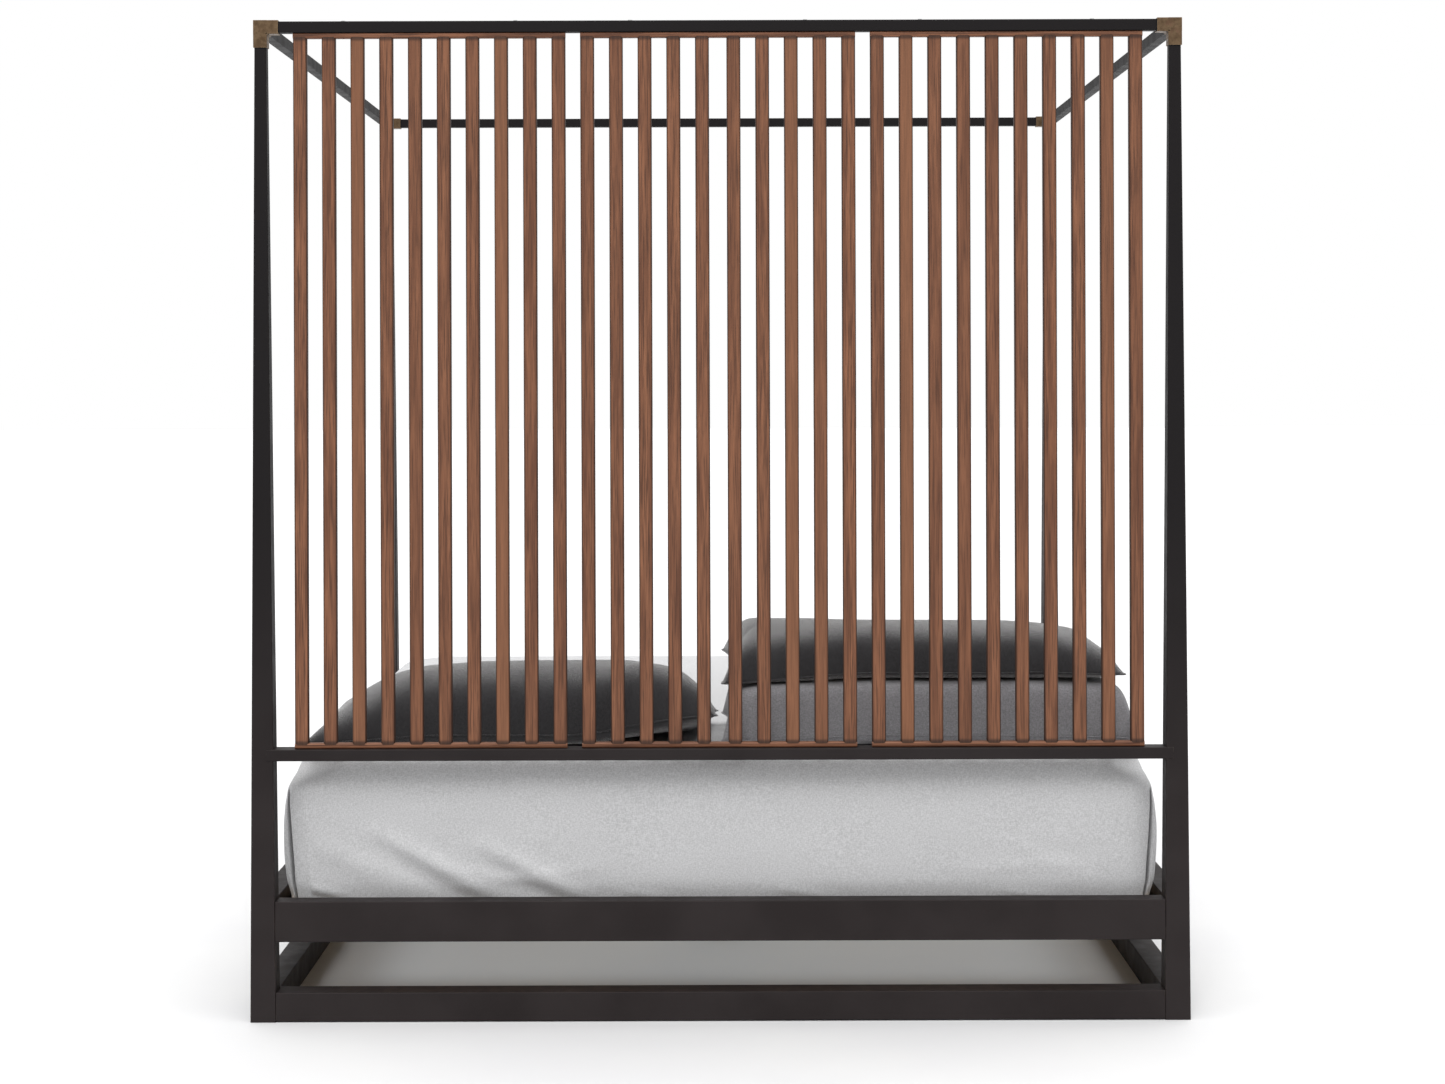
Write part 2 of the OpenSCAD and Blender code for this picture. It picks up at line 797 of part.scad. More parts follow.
pillow_front_y = -half_l + 80;
pillow_gap = 4;
stack_gap = 0.5;
lower_pillow_t = 146;
upper_pillow_t = 132;
left_pillow_t = 176;
pillow_x = pillow_gap / 2 + pillow_w / 2;
pillow_bed_z = mattress_z + mattress_h + stack_gap;

// Pillow as a smooth closed form: widest at mid height, flatter above and below
module pillow(tint, x, z, t) {
    color(tint)
        translate([x, pillow_front_y + pillow_d / 2, z])
            hull() {
                for (layer = [[0, 0.62], [0.12, 0.84], [0.38, 0.98], [0.5, 1], [0.62, 0.98],
                              [0.88, 0.84], [1, 0.62]])
                    translate([0, 0, layer[0] * (t - 2)]) linear_extrude(2)
                        rounded_rect(pillow_w * layer[1], pillow_d * layer[1], 70, $fn = 32);
            }
}

module pillow_left() {
    pillow(charcoal, -pillow_x, pillow_bed_z, left_pillow_t);
}

module pillow_right_lower() {
    pillow(pillow_grey, pillow_x, pillow_bed_z, lower_pillow_t);
}

module pillow_right_upper() {
    pillow(charcoal, pillow_x, pillow_bed_z + lower_pillow_t + stack_gap, upper_pillow_t);
}

at_corner(-1, -1) post(true);  // post_head_left
at_corner(1, -1) post(true);  // post_head_right
at_corner(-1, 1) post(false);  // post_foot_left
at_corner(1, 1) post(false);  // post_foot_right
post_base_plugs();
low_end_rail(-1);  // bottom_rail_head
low_end_rail(1);  // bottom_rail_foot
low_side_rail(-1);  // bottom_rail_left
low_side_rail(1);  // bottom_rail_right
deck_end_rail(-1);  // platform_rail_head
deck_end_rail(1);  // platform_rail_foot
deck_side_rail(-1);  // platform_rail_left
deck_side_rail(1);  // platform_rail_right
rail_bolts();
rail_bolt_inserts();
canopy_end_rail(-1);  // canopy_rail_head
canopy_end_rail(1);  // canopy_rail_foot
canopy_side_rail(-1);  // canopy_rail_left
canopy_side_rail(1);  // canopy_rail_right
corner_sleeve(-1, -1);  // corner_sleeve_head_left
corner_sleeve(1, -1);  // corner_sleeve_head_right
corner_sleeve(-1, 1);  // corner_sleeve_foot_left
corner_sleeve(1, 1);  // corner_sleeve_foot_right
sleeve_set_screws();
headboard_mid_rail();
wood_rail(-1, true);  // wood_rail_top_left
wood_rail(0, true);  // wood_rail_top_middle
wood_rail(1, true);  // wood_rail_top_right
wood_rail(-1, false);  // wood_rail_bottom_left
wood_rail(0, false);  // wood_rail_bottom_middle
wood_rail(1, false);  // wood_rail_bottom_right
headboard_slats(-1);  // headboard_slats_left
headboard_slats(0);  // headboard_slats_middle
headboard_slats(1);  // headboard_slats_right
headboard_screws_lower();
headboard_screws_upper();
ledger(-1);  // ledger_left
ledger(1);  // ledger_right
mattress_slats();
mattress_slat_screws();
centre_beam();
beam_hanger(-1);  // beam_hanger_head
beam_hanger(1);  // beam_hanger_foot
centre_leg(-1);  // centre_leg_head
centre_leg(1);  // centre_leg_foot
centre_glide(-1);  // centre_glide_head
centre_glide(1);  // centre_glide_foot
deck_screws();
levelling_foot(-1, -1);  // levelling_foot_head_left
levelling_foot(1, -1);  // levelling_foot_head_right
levelling_foot(-1, 1);  // levelling_foot_foot_left
levelling_foot(1, 1);  // levelling_foot_foot_right
mattress();
fitted_sheet();
pillow_left();
pillow_right_lower();
pillow_right_upper();
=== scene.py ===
"""Looks of the four poster canopy bed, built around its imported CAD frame. Metres."""

import json
import math

import bmesh
import bpy
import numpy as np
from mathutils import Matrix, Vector


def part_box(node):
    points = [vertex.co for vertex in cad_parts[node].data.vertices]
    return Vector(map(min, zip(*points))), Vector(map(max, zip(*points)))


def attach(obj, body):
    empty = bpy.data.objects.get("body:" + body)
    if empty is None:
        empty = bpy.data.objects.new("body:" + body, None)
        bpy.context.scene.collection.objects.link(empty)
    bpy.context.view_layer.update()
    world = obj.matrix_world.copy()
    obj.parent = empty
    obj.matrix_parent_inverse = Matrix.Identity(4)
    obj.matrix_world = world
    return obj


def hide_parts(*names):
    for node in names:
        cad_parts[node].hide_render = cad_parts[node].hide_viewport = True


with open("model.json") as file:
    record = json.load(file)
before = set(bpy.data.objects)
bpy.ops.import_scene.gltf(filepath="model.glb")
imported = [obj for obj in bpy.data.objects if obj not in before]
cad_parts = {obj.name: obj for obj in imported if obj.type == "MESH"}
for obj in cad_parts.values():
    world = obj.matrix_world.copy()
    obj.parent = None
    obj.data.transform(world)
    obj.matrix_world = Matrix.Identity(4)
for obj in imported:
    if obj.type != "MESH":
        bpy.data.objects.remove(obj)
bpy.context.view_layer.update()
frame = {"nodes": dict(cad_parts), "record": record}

scene = bpy.context.scene


# ---- node tree helpers ----

class Shader:
    """One material's node tree, with short calls for the nodes used here."""

    def __init__(self, name):
        self.material = bpy.data.materials.new(name)
        self.material.use_nodes = True
        self.nodes = self.material.node_tree.nodes
        self.links = self.material.node_tree.links
        self.nodes.clear()
        self.out = self.nodes.new("ShaderNodeOutputMaterial")
        self.bsdf = self.nodes.new("ShaderNodeBsdfPrincipled")
        self.links.new(self.bsdf.outputs[0], self.out.inputs["Surface"])
        self.coords = self.nodes.new("ShaderNodeTexCoord").outputs["Object"]

    def plug(self, value, socket):
        """Links a socket, or sets a plain value."""
        if isinstance(value, bpy.types.NodeSocket):
            self.links.new(value, socket)
        else:
            socket.default_value = value

    def set(self, **values):
        """Sets inputs of the surface shader, written with _ for a space."""
        for name, value in values.items():
            self.plug(value, self.bsdf.inputs[name.replace("_", " ")])

    def scaled(self, x, y, z, vector=None):
        """The coordinates, stretched by a factor along each axis."""
        node = self.nodes.new("ShaderNodeMapping")
        node.inputs["Scale"].default_value = (x, y, z)
        self.plug(vector or self.coords, node.inputs["Vector"])
        return node.outputs[0]

    def noise(self, scale, vector=None, detail=3, roughness=0.5, distortion=0):
        """Cloudy noise from 0 to 1, with scale clouds to a metre."""
        node = self.nodes.new("ShaderNodeTexNoise")
        self.plug(vector or self.coords, node.inputs["Vector"])
        node.inputs["Scale"].default_value = scale
        node.inputs["Detail"].default_value = detail
        node.inputs["Roughness"].default_value = roughness
        node.inputs["Distortion"].default_value = distortion
        return node.outputs["Fac"]

    def wave(self, scale, vector, direction):
        """Even bands across one axis."""
        node = self.nodes.new("ShaderNodeTexWave")
        node.wave_type = "BANDS"
        node.bands_direction = direction
        self.plug(vector, node.inputs["Vector"])
        node.inputs["Scale"].default_value = scale
        node.inputs["Detail"].default_value = 2
        return node.outputs["Fac"]

    def math(self, kind, a, b=0):
        node = self.nodes.new("ShaderNodeMath")
        node.operation = kind
        self.plug(a, node.inputs[0])
        self.plug(b, node.inputs[1])
        return node.outputs[0]

    def ramp(self, value, low, high, out_low=0, out_high=1):
        """A smooth step of value from low to high."""
        node = self.nodes.new("ShaderNodeMapRange")
        node.interpolation_type = "SMOOTHSTEP"
        self.plug(value, node.inputs["Value"])
        node.inputs["From Min"].default_value = low
        node.inputs["From Max"].default_value = high
        node.inputs["To Min"].default_value = out_low
        node.inputs["To Max"].default_value = out_high
        return node.outputs["Result"]

    def mix(self, factor, a, b):
        """Colour a at 0 and b at 1."""
        node = self.nodes.new("ShaderNodeMix")
        node.data_type = "RGBA"
        self.plug(factor, node.inputs[0])
        self.plug(a, node.inputs[6])
        self.plug(b, node.inputs[7])
        return node.outputs[2]

    def axis(self, name, vector=None):
        node = self.nodes.new("ShaderNodeSeparateXYZ")
        self.plug(vector or self.coords, node.inputs[0])
        return node.outputs[name]

    def vector(self, x, y, z):
        node = self.nodes.new("ShaderNodeCombineXYZ")
        self.plug(x, node.inputs[0])
        self.plug(y, node.inputs[1])
        self.plug(z, node.inputs[2])
        return node.outputs[0]

    def facing(self, name):
        """How much a surface faces along an axis, from -1 to 1."""
        node = self.nodes.new("ShaderNodeNewGeometry")
        return self.axis(name, node.outputs["Normal"])

    def random(self, value):
        """A fixed random number for each value."""
        node = self.nodes.new("ShaderNodeTexWhiteNoise")
        node.noise_dimensions = "1D"
        self.plug(value, node.inputs["W"])
        return node.outputs["Value"]

    def edges(self, radius):
        """1 on worn edges, 0 on flat faces."""
        bevel = self.nodes.new("ShaderNodeBevel")
        bevel.samples = 4
        bevel.inputs["Radius"].default_value = radius
        flat = self.nodes.new("ShaderNodeNewGeometry")
        dot = self.nodes.new("ShaderNodeVectorMath")
        dot.operation = "DOT_PRODUCT"
        self.links.new(bevel.outputs[0], dot.inputs[0])
        self.links.new(flat.outputs["Normal"], dot.inputs[1])
        return self.ramp(dot.outputs["Value"], 0.995, 0.82)

    def bump(self, height, distance, strength=1.0, under=None):
        node = self.nodes.new("ShaderNodeBump")
        node.inputs["Strength"].default_value = strength
        node.inputs["Distance"].default_value = distance
        self.plug(height, node.inputs["Height"])
        if under is not None:
            self.plug(under, node.inputs["Normal"])
        self.links.new(node.outputs[0], self.bsdf.inputs["Normal"])
        return node.outputs[0]


def rgb(red, green, blue):
    """A display colour, 0 to 255, as the linear colour a shader takes."""
    def linear(value):
        value = value / 255
        return value / 12.92 if value < 0.04045 else ((value + 0.055) / 1.055) ** 2.4
    return (linear(red), linear(green), linear(blue), 1)


# ---- materials ----

def powder_coat():
    """Dark bronze-black powder coat on the steel tubes, darkened higher up by painted shade."""
    shader = Shader("frame_powder_coat")
    cloud = shader.noise(6, detail=4)
    speck = shader.noise(900, detail=2)
    orange_peel = shader.noise(340, detail=2)
    tone = shader.mix(shader.ramp(cloud, 0.3, 0.7), rgb(32, 27, 27), rgb(39, 34, 34))
    tone = shader.mix(shader.ramp(speck, 0.62, 0.75, 0, 0.35), tone, rgb(56, 52, 50))
    # painted shade: the coat is darkened higher up, where the light falls off, and this is not a change in
    # the coat
    high = shader.ramp(shader.axis("Z"), 0.35, 1.25)
    tone = shader.mix(high, tone, rgb(19, 16, 17))
    wear = shader.math("MULTIPLY", shader.edges(0.0012), shader.ramp(shader.noise(60), 0.4, 0.65))
    # edge wear, thinned higher up where the painted shade darkens the coat
    wear = shader.math("MULTIPLY", wear, shader.math("SUBTRACT", 1, shader.math("MULTIPLY", high, 0.6)))
    tone = shader.mix(wear, tone, rgb(78, 70, 64))
    rough = shader.ramp(shader.noise(24, detail=5), 0.3, 0.7, 0.5, 0.6)
    shader.set(Base_Color=tone, Roughness=rough)
    shader.bsdf.inputs["Specular IOR Level"].default_value = 0.14
    shader.bump(shader.math("ADD", orange_peel, shader.math("MULTIPLY", speck, 0.3)), 0.00012, 0.6)
    return shader.material


def bronze():
    """Rubbed bronze of the corner sleeves, mottled and brighter on its edges."""
    shader = Shader("sleeve_bronze")
    cloud = shader.noise(70, detail=6, roughness=0.62)
    spots = shader.noise(260, detail=4)
    tone = shader.mix(shader.ramp(cloud, 0.32, 0.68), rgb(84, 66, 48), rgb(112, 92, 70))
    tone = shader.mix(shader.ramp(spots, 0.55, 0.72, 0, 0.55), tone, rgb(74, 62, 42))
    tone = shader.mix(shader.ramp(shader.noise(34, detail=3), 0.56, 0.72, 0, 0.5), tone, rgb(112, 80, 66))
    tone = shader.mix(shader.math("MULTIPLY", shader.edges(0.0012), 0.8), tone, rgb(176, 152, 122))
    brushed = shader.noise(40, shader.scaled(1, 1, 14), detail=4)
    rough = shader.ramp(brushed, 0.25, 0.75, 0.36, 0.56)
    shader.set(Base_Color=tone, Roughness=rough, Metallic=0.85)
    shader.bump(shader.math("ADD", brushed, shader.math("MULTIPLY", spots, 0.6)), 0.00012, 0.5)
    return shader.material


SLAT_PITCH = 0.0641
FIRST_SLAT = 0.03505
SLAT_END = 0.007  # the tenon at each end, hidden in its rail


def walnut(name, upright):
    """Oiled walnut. The grain runs up the slats and along the rails."""
    shader = Shader(name)
    across = shader.axis("X")
    along = shader.coords
    if upright:
        # each slat is cut from its own board
        place = shader.math("DIVIDE", shader.math("SUBTRACT", across, FIRST_SLAT), SLAT_PITCH)
        index = shader.math("ROUND", place)
        board = shader.random(index)
        shift = shader.math("MULTIPLY", board, 37)
        moved = shader.vector(shader.math("ADD", across, shift), shader.axis("Y"),
                              shader.math("ADD", shader.axis("Z"), shader.math("MULTIPLY", shift, 0.6)))
        along = shader.scaled(1, 1, 0.045, moved)
        fine = shader.scaled(1, 1, 0.02, moved)
    else:
        board = shader.random(shader.math("ROUND", shader.math("MULTIPLY", across, 1.6)))
        along = shader.scaled(0.045, 1, 1)
        fine = shader.scaled(0.02, 1, 1)
    figure = shader.noise(80, along, detail=4, roughness=0.6, distortion=0.5)
    streak = shader.noise(380, fine, detail=4, roughness=0.65)
    pores = shader.noise(1100, fine, detail=2)
    tone = shader.mix(shader.ramp(figure, 0.28, 0.72), rgb(92, 56, 37), rgb(132, 87, 61))
    tone = shader.mix(shader.ramp(streak, 0.46, 0.64, 0, 0.8), tone, rgb(60, 35, 22))
    tone = shader.mix(shader.ramp(pores, 0.6, 0.72, 0, 0.55), tone, rgb(46, 28, 20))
    tone = shader.mix(shader.math("MULTIPLY", board, 0.45), tone, rgb(92, 56, 37))
    tone = shader.mix(shader.ramp(board, 0.62, 1, 0, 0.3), tone, rgb(144, 99, 69))
    tone = shader.mix(shader.math("MULTIPLY", shader.edges(0.003), 0.45), tone, rgb(46, 27, 18))
    if upright:
        # painted shade: the slats are darkened where their rounded edges turn away from the front
        flat = shader.math("ABSOLUTE", shader.facing("Y"))
        tone = shader.mix(shader.ramp(flat, 0.98, 0.6, 0, 0.85), tone, rgb(36, 21, 14))
        # painted contact shadow: each slat is darkened towards both ends, just short of its tenons, where it
        # meets its rail
        low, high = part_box("headboard_slats_middle")
        middle = (low.z + high.z) / 2
        from_middle = shader.math("ABSOLUTE", shader.math("SUBTRACT", shader.axis("Z"), middle))
        reach = (high.z - low.z) / 2 - SLAT_END
        tone = shader.mix(shader.ramp(from_middle, reach - 0.009, reach - 0.001, 0, 0.75), tone,
                          rgb(36, 21, 14))
    rough = shader.ramp(streak, 0.3, 0.7, 0.44, 0.6)
    shader.set(Base_Color=tone, Roughness=rough)
    shader.bsdf.inputs["Specular IOR Level"].default_value = 0.3
    shader.bump(shader.math("SUBTRACT", streak, shader.math("MULTIPLY", pores, 0.8)), 0.0002, 0.5)
    return shader.material


def pine():
    """Sawn pine of the slats under the mattress."""
    shader = Shader("slat_pine")
    board = shader.random(shader.math("ROUND", shader.math("DIVIDE", shader.axis("Y"), 0.15)))
    shift = shader.math("MULTIPLY", board, 21)
    moved = shader.vector(shader.math("ADD", shader.axis("X"), shift),
                          shader.math("ADD", shader.axis("Y"), shift), shader.axis("Z"))
    grain = shader.noise(70, shader.scaled(0.05, 1, 1, moved), detail=4, distortion=1.2)
    fibre = shader.noise(600, shader.scaled(0.03, 1, 1, moved), detail=2)
    knots = shader.noise(9, shader.scaled(0.6, 1, 1, moved), detail=1)
    tone = shader.mix(shader.ramp(grain, 0.35, 0.65), rgb(214, 184, 140), rgb(188, 150, 102))
    tone = shader.mix(shader.ramp(knots, 0.72, 0.78, 0, 0.8), tone, rgb(112, 74, 44))
    tone = shader.mix(shader.ramp(fibre, 0.55, 0.75, 0, 0.25), tone, rgb(160, 122, 80))
    shader.set(Base_Color=tone, Roughness=shader.ramp(fibre, 0.3, 0.7, 0.6, 0.75))
    shader.bump(fibre, 0.0003, 0.5)
    return shader.material


def zinc():
    """Bright zinc plate on bolts, screws and glides."""
    shader = Shader("zinc_plate")
    spangle = shader.noise(220, detail=4)
    tone = shader.mix(shader.ramp(spangle, 0.3, 0.7), rgb(176, 178, 180), rgb(204, 204, 200))
    tone = shader.mix(shader.math("MULTIPLY", shader.edges(0.0006), 0.6), tone, rgb(232, 232, 230))
    shader.set(Base_Color=tone, Metallic=0.95, Roughness=shader.ramp(spangle, 0.3, 0.7, 0.28, 0.44))
    shader.bump(spangle, 0.0001, 0.4)
    return shader.material


def nylon():
    """Moulded black nylon with a faint grain."""
    shader = Shader("plug_nylon")
    grain = shader.noise(700, detail=2)
    tone = shader.mix(shader.ramp(shader.noise(30), 0.3, 0.7), rgb(30, 30, 31), rgb(40, 40, 41))
    shader.set(Base_Color=tone, Roughness=shader.ramp(grain, 0.3, 0.7, 0.45, 0.6))
    shader.bump(grain, 0.00015, 0.5)
    return shader.material


def cloth(name, dark, light, thread, slub=1.0, sheen=0.2, fuzz=0.25):
    """Plain weave: crossed threads of one width in metres, with slubs and heather."""
    shader = Shader(name)
    count = 0.5 / thread
    warp_wander = shader.noise(60, detail=2)
    x = shader.math("ADD", shader.axis("X"), shader.math("MULTIPLY", warp_wander, 0.002))
    side = shader.vector(shader.math("ADD", x, shader.axis("Y")), shader.axis("Y"), shader.axis("Z"))
    warp = shader.wave(count, side, "X")
    up = shader.math("ABSOLUTE", shader.facing("Z"))
    weft_z = shader.wave(count, side, "Z")
    weft_y = shader.wave(count, side, "Y")
    weft = shader.math("ADD", shader.math("MULTIPLY", weft_y, up),
                       shader.math("MULTIPLY", weft_z, shader.math("SUBTRACT", 1, up)))
    weave = shader.math("MULTIPLY", warp, weft)
    along = shader.noise(560, shader.scaled(0.3, 0.5, 1), detail=2, roughness=0.6)
    down = shader.noise(560, shader.scaled(1, 0.5, 0.3), detail=2, roughness=0.6)
    heather = shader.math("ADD", shader.math("MULTIPLY", along, 0.5), shader.math("MULTIPLY", down, 0.5))
    cloud = shader.noise(7, detail=4)
    tone = shader.mix(shader.ramp(heather, 0.36, 0.64), dark, light)
    tone = shader.mix(shader.ramp(cloud, 0.3, 0.7, 0, 0.3 * slub), tone, light)
    tone = shader.mix(shader.ramp(weave, 0.45, 0, 0, 0.35), tone, dark)
    shader.set(Base_Color=tone, Roughness=shader.ramp(heather, 0.3, 0.7, 0.82, 0.95))
    shader.bsdf.inputs["Sheen Weight"].default_value = sheen
    shader.bsdf.inputs["Sheen Roughness"].default_value = 0.45
    shader.bsdf.inputs["Specular IOR Level"].default_value = 0.18
    height = shader.math("ADD", weave, shader.math("MULTIPLY", heather, slub))
    threads = shader.bump(height, thread * 0.5, 0.6)
    shader.bump(shader.noise(14, detail=2), 0.003, fuzz, threads)
    return shader.material


def floor_paint():
    """Pale, slightly uneven studio floor."""
    shader = Shader("studio_floor")
    cloud = shader.noise(1.5, detail=3)
    tone = shader.mix(shader.ramp(cloud, 0.3, 0.7), rgb(206, 206, 207), rgb(210, 210, 210))
    shader.set(Base_Color=tone, Roughness=0.7)
    shader.bsdf.inputs["Specular IOR Level"].default_value = 0.2
    return shader.material


# ---- mesh helpers ----

def new_object(name, points, faces, material, smooth=True):
    mesh = bpy.data.meshes.new(name)
    mesh.from_pydata([tuple(p) for p in points], [], faces)
    mesh.update()
    mesh.materials.append(material)
    mesh.polygons.foreach_set("use_smooth", [smooth] * len(mesh.polygons))
    thing = bpy.data.objects.new(name, mesh)
    scene.collection.objects.link(thing)
    return thing


def points_of(thing):
    flat = np.empty(len(thing.data.vertices) * 3)
    thing.data.vertices.foreach_get("co", flat)
    return flat.reshape(-1, 3)


def move_points(thing, points):
    thing.data.vertices.foreach_set("co", np.ascontiguousarray(points).ravel())
    thing.data.update()


def subdivide(thing):
    modifier = thing.modifiers.new("Smooth", "SUBSURF")
    modifier.levels = 1
    modifier.render_levels = 1


def smooth_step(value, low, high):
    t = np.clip((value - low) / (high - low), 0, 1)
    return t * t * (3 - 2 * t)


def tube_along(name, path, radius, material, sides=6):
    """A closed ring of thin tube through path, for a sewn edge or an elastic."""
    path = np.asarray(path)
    ahead = np.roll(path, -1, axis=0)
    behind = np.roll(path, 1, axis=0)
    run = ahead - behind
    run /= np.linalg.norm(run, axis=1)[:, None]
    side = np.cross(run, (0, 0, 1))
    side /= np.linalg.norm(side, axis=1)[:, None]
    up = np.cross(side, run)
    points = []
    for p, s, u in zip(path, side, up):
        for k in range(sides):
            angle = 2 * math.pi * k / sides
            points.append(p + radius * (math.cos(angle) * s + math.sin(angle) * u))
    count = len(path)
    faces = []
    for i in range(count):
        j = (i + 1) % count
        for k in range(sides):
            m = (k + 1) % sides
            faces.append((i * sides + k, j * sides + k, j * sides + m, i * sides + m))
    return new_object(name, points, faces, material)


# ---- camera, floor and light ----

def make_camera():
    """The photograph's view: level, from the head end, 5.55 m in front of the posts."""
    data = bpy.data.cameras.new("camera")
    data.lens = 62.18
    data.sensor_width = 36
    data.shift_x = 0.0016
    data.shift_y = -0.1156
    data.clip_end = 200
    camera = bpy.data.objects.new("camera", data)
    camera.location = (0.0035, -6.642, 1.437)
    camera.rotation_euler = (math.radians(90), math.radians(0.178), 0)
    scene.collection.objects.link(camera)
    scene.camera = camera


def make_floor():
    reach = 60
    points = [(-reach, -reach, 0), (reach, -reach, 0), (reach, reach, 0), (-reach, reach, 0)]
    floor = new_object("studio_floor", points, [(0, 1, 2, 3)], floor_paint(), smooth=False)
    floor.location.z = -0.0005


def area_light(name, place, aim, size, watts):
    data = bpy.data.lights.new(name, "AREA")
    data.shape = "RECTANGLE"
    data.size = size[0]
    data.size_y = size[1]
    data.energy = watts
    light = bpy.data.objects.new(name, data)
    light.location = place
    direction = np.array(aim) - np.array(place)
    light.rotation_euler = Vector(direction).to_track_quat("-Z", "Y").to_euler()
    scene.collection.objects.link(light)
    return light


def sky_light(name, strength, width, tilt):
    """A soft light from far above: its width in degrees, tilted about X and Y."""
    data = bpy.data.lights.new(name, "SUN")
    data.energy = strength
    data.angle = math.radians(width)
    light = bpy.data.objects.new(name, data)
    light.rotation_euler = (math.radians(tilt[0]), math.radians(tilt[1]), 0)
    scene.collection.objects.link(light)


def make_light():
    world = bpy.data.worlds.new("studio")
    world.use_nodes = True
    nodes = world.node_tree.nodes
    links = world.node_tree.links
    background = nodes["Background"]
    background.inputs["Color"].default_value = (1, 1, 1, 1)
    # a pure white backdrop that gives less light than it shows
    backdrop = nodes.new("ShaderNodeMapRange")
    backdrop.inputs["To Min"].default_value = 0.72
    backdrop.inputs["To Max"].default_value = 1.0
    links.new(nodes.new("ShaderNodeLightPath").outputs["Is Camera Ray"], backdrop.inputs["Value"])
    links.new(backdrop.outputs["Result"], background.inputs["Strength"])
    scene.world = world
    sky_light("overhead", 2.6, 110, (-4, 4))
    sky_light("front_top", 1.5, 26, (42, -6))
    under = area_light("under_bed", (0, 0, 0.172), (0, 0, 0), (1.7, 1.5), 2.9)
    under.data.spread = math.radians(100)
    under.data.color = (0.88, 0.95, 1.0)
    under.visible_camera = False
    scene.view_settings.view_transform = "Standard"


# ---- frame materials ----

def dress_frame():
    finishes = {
        "frame_steel": powder_coat(),
        "sleeve_bronze": bronze(),
        "walnut": walnut("walnut_upright", True),
        "slat_pine": pine(),
        "zinc_hardware": zinc(),
        "plug_nylon": nylon(),
    }
    level_walnut = walnut("walnut_level", False)
    for part in frame["record"]["subparts"]:
        finish = finishes.get(part["material_slot"])
        if finish is None:
            continue
        name = part["node"]
        if name.startswith("wood_rail"):
            finish = level_walnut
        thing = frame["nodes"][name]
        if not thing.material_slots:
            thing.data.materials.append(finish)
        for holder in thing.material_slots:
            holder.material = finish


# ---- mattress and fitted sheet ----

PLAN_RADIUS = 0.060
CROWN_RADIUS = 0.055
LOW_RADIUS = 0.020
HEM_REACH = 0.150
CORNER_COLUMNS = 40
COLUMN_WIDTH = 0.018
SEAM_RADIUS = 0.0015


def column_places(length):
    """Places from 0 to 1 of the columns along one straight side, ends left out."""
    count = round(length / COLUMN_WIDTH)
    return [k / count for k in range(1, count)]


def plan_ring(half_x, half_y, radius, columns_x, columns_y):
    """Points round a rounded rectangle, the same count whatever its size."""
    ring = []
    for sx, sy, start in ((1, 1, 0), (-1, 1, 90), (-1, -1, 180), (1, -1, 270)):
        for k in range(CORNER_COLUMNS + 1):
            angle = math.radians(start + 90 * k / CORNER_COLUMNS)
            x = sx * (half_x - radius) + radius * math.cos(angle)
            y = sy * (half_y - radius) + radius * math.sin(angle)
            ring.append((x, y))
        along_x = start in (0, 180)
        for c in columns_x if along_x else columns_y:
            slide = 1 - 2 * c
            if along_x:
                ring.append((sx * (half_x - radius) * slide, sy * half_y))
            else:
                ring.append((sx * half_x, sy * (half_y - radius) * slide))
    return ring


def side_profile(low, high, hem):
    """Rows from the flat top down the side and under: inset from the side, height."""
    rows = [(PLAN_RADIUS, high)]
    for k in range(7):
        angle = math.radians(90 * k / 6)
        rows.append((CROWN_RADIUS * (1 - math.sin(angle)), high - CROWN_RADIUS * (1 - math.cos(angle))))
    top = high - CROWN_RADIUS
    bottom = low + LOW_RADIUS
    steps = round((top - bottom) / 0.0085)
    rows += [(0, top + (bottom - top) * k / steps) for k in range(1, steps + 1)]
    for k in range(1, 5):
        angle = math.radians(90 * k / 4)
        rows.append((LOW_RADIUS * (1 - math.cos(angle)), low + LOW_RADIUS * (1 - math.sin(angle))))
    steps = round((hem - LOW_RADIUS) / 0.016)
    rows += [(LOW_RADIUS + (hem - LOW_RADIUS) * k / steps, low) for k in range(1, steps + 1)]
    return rows


